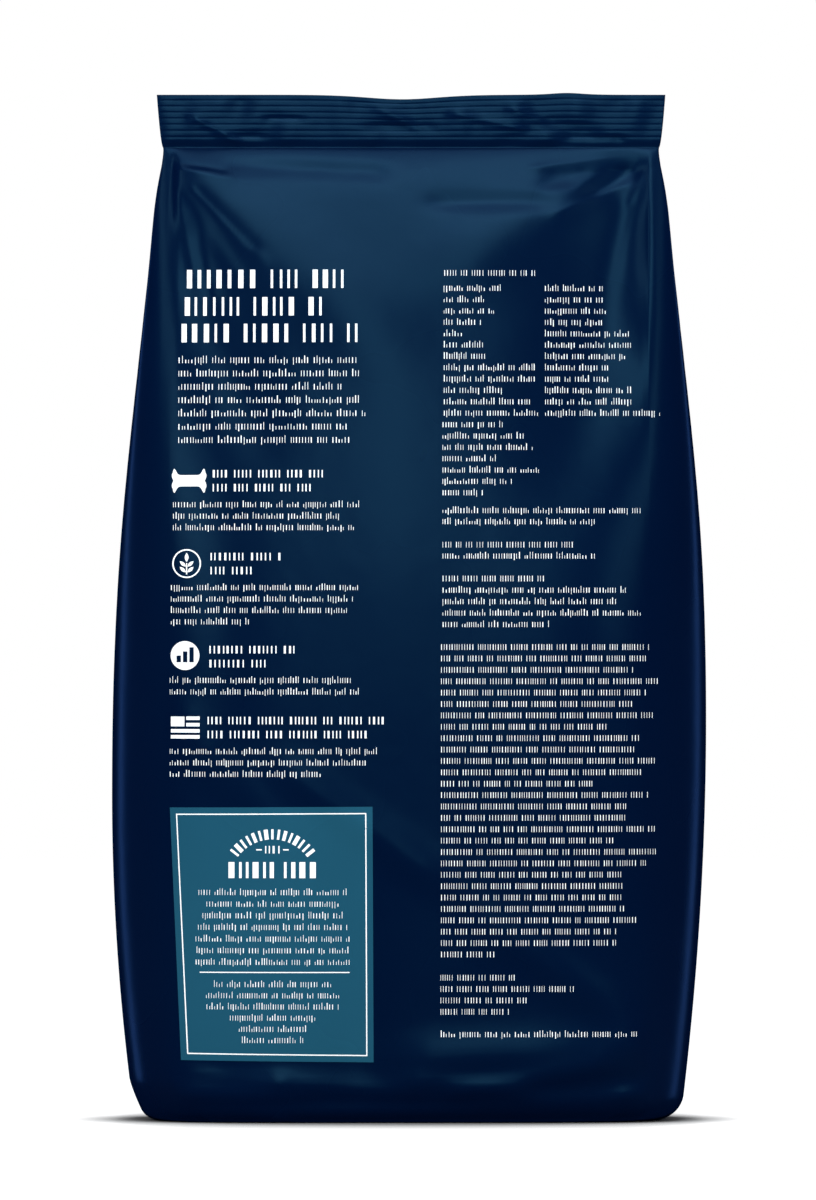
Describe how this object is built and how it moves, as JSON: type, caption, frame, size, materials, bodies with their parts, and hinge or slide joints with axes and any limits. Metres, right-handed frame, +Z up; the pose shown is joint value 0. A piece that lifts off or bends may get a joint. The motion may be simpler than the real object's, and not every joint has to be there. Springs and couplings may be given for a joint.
{
  "type": "pet food bag",
  "caption": "Filled side-gusset film pouch of dry pet food, crimped shut across the top and standing on its folded base.",
  "frame": {"origin": "under the middle of the flat base, on the surface the bag stands on", "axes": "+Z up to the seal, +X to the right of the printed panel, -Y out of the printed panel"},
  "size_m": [0.2315, 0.11, 0.4001],
  "materials": {
    "printed_film": "satin",
    "white_ink": "satin",
    "teal_ink": "satin"
  },
  "bodies": {
    "root": {"filled_pouch": "printed_film"}
  },
  "joints": []
}
